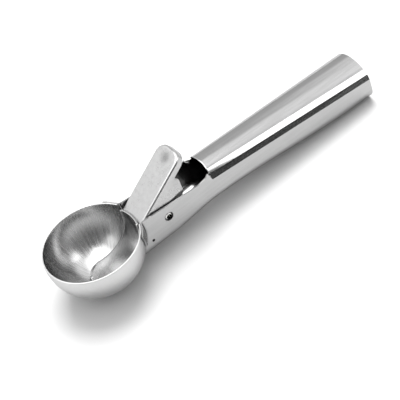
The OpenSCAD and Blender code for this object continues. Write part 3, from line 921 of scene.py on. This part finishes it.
# The wire's middle as (x, y, z) from the pin: the low foot and leg, the coil, the high leg and
# foot
route = [(low_end[0] + ahead, -half_coil, low_end[1]) for ahead in (LEG_FOOT, LEG_BEND, 0)]
for k in range(COIL_STEPS + 1):
    a = mix(coil_start, coil_end, k / COIL_STEPS)
    route.append((coil_r * math.cos(a), mix(-half_coil, half_coil, k / COIL_STEPS),
                  coil_r * math.sin(a)))
route += [(high_end[0], half_coil, high_end[1]),
          (high_end[0] + LEG_FOOT * math.cos(slope), half_coil,
           high_end[1] + LEG_FOOT * math.sin(slope))]
WIRE_SIDES = 12


def wire_place(i, j):
    ahead = Vector(route[min(len(route) - 1, j + 1)]) - Vector(route[max(0, j - 1)])
    across = Vector((0, 1, 0)).cross(ahead).normalized()
    over = across.cross(ahead.normalized())
    a = 2 * math.pi * i / WIRE_SIDES
    p = Vector(route[j]) + WIRE_R * (math.cos(a) * across + math.sin(a) * over)
    return at(PIN_X + p.x, p.y, PIN_Z + p.z)


spring = blank("spring", WIRE_SIDES, len(route) - 1, wire_place)
close_up(spring, 0.005)
for end in (route[0], route[-1]):
    middle = at(PIN_X + end[0], end[1], PIN_Z + end[2])
    lid(spring, lambda c: (c - middle).length < mm(2 * WIRE_R))
turn_out(spring)
smooth(spring, 50)
spring = settle(spring, "wound_spring")
dress(spring, drawn_wire, None, "return_spring")
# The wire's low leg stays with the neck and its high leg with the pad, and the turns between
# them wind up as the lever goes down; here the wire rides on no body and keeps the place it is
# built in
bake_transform(spring)

# ---------------------------------------------------------------------------------------------
# End cap: a pressed cup with a rounded edge, set into the tube's end
# ---------------------------------------------------------------------------------------------
CAP_RECESS, CAP_DEPTH, CAP_EDGE, CAP_FIT = 0.8, 5.0, 1.2, SHEET + 0.04
CAP_FACE = CAP_FIT + CAP_EDGE + 0.4
CAP_CORNER, CAP_CROWN, CAP_ROUND = 9, 16, 6
cap_end = REAR_X - CAP_RECESS


def cap_section(x, inset, j):
    """Point j of half the tube's section, set in from the outside."""
    w, low = half_width(x) - inset, underside(x) + inset
    r = max(0.3, corner_r(x) - inset)
    if j == 0:
        return 0.0, low
    if j <= CAP_CORNER:
        a = math.pi / 2 * (j - 1) / (CAP_CORNER - 1)
        return w - r + r * math.sin(a), low + r - r * math.cos(a)
    if j == CAP_CORNER + 1:
        return w, shoulder(x) - BEVEL_HEIGHT
    reach, sag = w - lean_in(x), crown_top(x) - inset - shoulder(x)
    bow = (reach * reach + sag * sag) / (2 * sag)
    a = math.asin(reach / bow) * (1 - (j - CAP_CORNER - 2) / CAP_CROWN)
    return bow * math.sin(a), crown_top(x) - inset - bow + bow * math.cos(a)


def cap_place(i, j):
    if i == 0:
        x, inset = cap_end - CAP_DEPTH, CAP_FIT
    elif i <= CAP_ROUND + 1:
        a = math.pi / 2 * (i - 1) / CAP_ROUND
        x = cap_end - CAP_EDGE + CAP_EDGE * math.sin(a)
        inset = CAP_FIT + CAP_EDGE - CAP_EDGE * math.cos(a)
    else:
        x, inset = cap_end, CAP_FACE
    y, z = cap_section(x, inset, j)
    return at(x, -y, z)


cap = blank("cap", CAP_ROUND + 2, CAP_CORNER + 2 + CAP_CROWN, cap_place)
finish_with(cap, "MIRROR", use_axis=(False, True, False), merge_threshold=mm(0.01))
close_up(cap, 0.01)
lid(cap, lambda c: c.x > at(cap_end - CAP_EDGE, 0, 0).x)
face_out(cap, at(cap_end, 0, 12), (1, 0, 0))
finish_with(cap, "SOLIDIFY", thickness=mm(SHEET), offset=-1, use_even_offset=True)
smooth(cap, 40)
cap = settle(cap, "pressed_cap")
dress(cap, brushed_sheet, "scoop_frame", "end_cap")

# ---------------------------------------------------------------------------------------------
# Floor, light and camera
# ---------------------------------------------------------------------------------------------
put_down()
bpy.ops.mesh.primitive_plane_add(size=1.3, location=(0.0, 0.25, 0))
floor = settle(bpy.context.object, "table")
paper = bpy.data.materials.new("matt white paper")
paper.use_nodes = True
sheet_shader = paper.node_tree.nodes["Principled BSDF"]
sheet_shader.inputs["Base Color"].default_value = linear("#F4F4F4")
sheet_shader.inputs["Roughness"].default_value = 0.9
sheet_shader.inputs["Specular IOR Level"].default_value = 0.1
floor.data.materials.append(paper)

world = bpy.data.worlds.new("studio")
bpy.context.scene.world = world
world.use_nodes = True
sky = world.node_tree
sky.nodes.clear()
direction = add(sky, "ShaderNodeTexCoord").outputs["Generated"]
parts = add(sky, "ShaderNodeSeparateXYZ", (), {"Vector": direction})


def lay_light(below, level, *edges):
    """Light of that level laid over what is below it. Each edge is an aim, how far towards it
    the light starts and where it is full. In place of an aim there may be a socket."""
    share = None
    for reading, start, full in edges:
        if isinstance(reading, tuple):
            reading = add(sky, "ShaderNodeVectorMath", {1: reading}, {0: direction},
                          operation="DOT_PRODUCT").outputs["Value"]
        part = add(sky, "ShaderNodeMapRange", {"From Min": start, "From Max": full},
                   {"Value": reading}, interpolation_type="SMOOTHSTEP").outputs["Result"]
        share = part if share is None else add(
            sky, "ShaderNodeMath", (), {0: share, 1: part}, operation="MULTIPLY").outputs[0]
    fixed, linked = {3: level}, {0: share}
    (fixed if isinstance(below, float) else linked)[2] = below
    return add(sky, "ShaderNodeMix", fixed, linked, data_type="FLOAT").outputs[0]


# What the steel mirrors: a dark room near the table, gray walls on the far side, a paler one on
# the far left and on the right, and a bright ceiling, which starts higher up on the far side
to_x, to_y, to_z = parts.outputs["X"], parts.outputs["Y"], parts.outputs["Z"]
studio = lay_light(0.06, 0.36, (to_z, 0.3, 0.45))
studio = lay_light(studio, 0.78, (to_y, 0.1, 0.5))
studio = lay_light(studio, 1.3, ((-0.77, 0.64, 0.0), 0.35, 0.75))
studio = lay_light(studio, 1.9, (to_x, 0.36, 0.64), (to_z, 0.45, 0.62))
FAR_HIGHER = 0.24
far_side = add(sky, "ShaderNodeMapRange", {"From Max": 0.6, "To Max": FAR_HIGHER},
               {"Value": to_y}, interpolation_type="SMOOTHSTEP").outputs["Result"]
height = add(sky, "ShaderNodeMath", (), {0: to_z, 1: far_side},
             operation="SUBTRACT").outputs[0]
studio = lay_light(studio, 1.45, (height, 0.62, 0.86))
# Round lamps that the cup's hollow and the blade mirror, and the dark of the camera's own place,
# which is the second: level, azimuth, elevation, and the degrees within which it is full and
# beyond which it is gone
LAMPS = [(1.7, 100, 52, 7, 17), (0.15, -104, 43, 7, 13), (5.6, -106, 60, 6, 11),
         (2.3, -162, 36, 8, 15), (1.9, -25, 46, 6, 13)]
for level, azimuth, elevation, inner_edge, outer_edge in LAMPS:
    a, e = math.radians(azimuth), math.radians(elevation)
    aim = (math.cos(e) * math.cos(a), math.cos(e) * math.sin(a), math.sin(e))
    studio = lay_light(studio, level, (aim, math.cos(math.radians(outer_edge)),
                                       math.cos(math.radians(inner_edge))))
# The steel sees the studio, the paper is lit evenly, and the camera sees white
AMBIENT, BACKDROP = 0.8, 1.0
rays = add(sky, "ShaderNodeLightPath")
lit = add(sky, "ShaderNodeMix", {2: AMBIENT}, {0: rays.outputs["Is Glossy Ray"], 3: studio},
          data_type="FLOAT").outputs[0]
shown = add(sky, "ShaderNodeMix", {3: BACKDROP}, {0: rays.outputs["Is Camera Ray"], 2: lit},
            data_type="FLOAT").outputs[0]
backdrop = add(sky, "ShaderNodeBackground", {"Color": (1, 1, 1, 1)}, {"Strength": shown})
add(sky, "ShaderNodeOutputWorld", (), {"Surface": backdrop.outputs["Background"]})


def softbox(name, centre, facing, width, height, radiance, mirrored):
    """An even panel of light, its width level, that looks along facing."""
    lamp = bpy.data.lights.new(name, "AREA")
    lamp.shape = "RECTANGLE"
    lamp.size, lamp.size_y = width, height
    # Watts for a radiance that is the same whatever the size
    lamp.energy = radiance * math.pi * width * height
    panel = bpy.data.objects.new(name, lamp)
    panel.location = centre
    panel.rotation_euler = (-Vector(facing)).to_track_quat("Z", "Y").to_euler()
    panel.visible_camera = False
    # Some panels give the steel its highlights, the other lights the paper
    panel.visible_glossy = mirrored
    panel.visible_diffuse = not mirrored
    bpy.context.scene.collection.objects.link(panel)
    return panel


# Two cards that the handle mirrors, and the panel behind that lights the paper and casts the
# soft shadow towards the front
softbox("front card", (0.5, -0.25, 0.22), (0, 1, 0), 0.8, 0.21, 3.2, True)
softbox("top card", (-0.10, 0.0, 0.32), (0, 0, -1), 0.40, 0.36, 2.1, True)
KEY_AT = Vector((0.36, 0.47, 1.25))
softbox("key", KEY_AT, -KEY_AT, 0.95, 0.95, 6.6, False)

# Camera: where it stands, which way its right and its top look, and a long lens
CAMERA_AT = Vector((-0.19375, -0.4898, 0.5182))
CAMERA_RIGHT, CAMERA_UP = Vector((0.7696, -0.5756, -0.2765)), Vector((0.5878, 0.4695, 0.6588))
LENS_MM, SENSOR_MM = 119.08, 36
lens = bpy.data.cameras.new("camera")
lens.lens = LENS_MM
lens.sensor_width = SENSOR_MM
lens.clip_start, lens.clip_end = 0.01, 20
camera = bpy.data.objects.new("camera", lens)
bpy.context.scene.collection.objects.link(camera)
right = CAMERA_RIGHT.normalized()
up = (CAMERA_UP - right * CAMERA_UP.dot(right)).normalized()
facing = Matrix((right, up, right.cross(up))).transposed().to_4x4()
camera.matrix_world = Matrix.Translation(CAMERA_AT) @ facing
bpy.context.scene.camera = camera

view = bpy.context.scene.view_settings
view.view_transform = "Standard"
view.look = "None"
view.exposure = 0.0
bpy.context.scene.cycles.use_denoising = True
bpy.context.scene.cycles.max_bounces = 12
bpy.context.scene.cycles.caustics_reflective = False

bpy.context.view_layer.update()
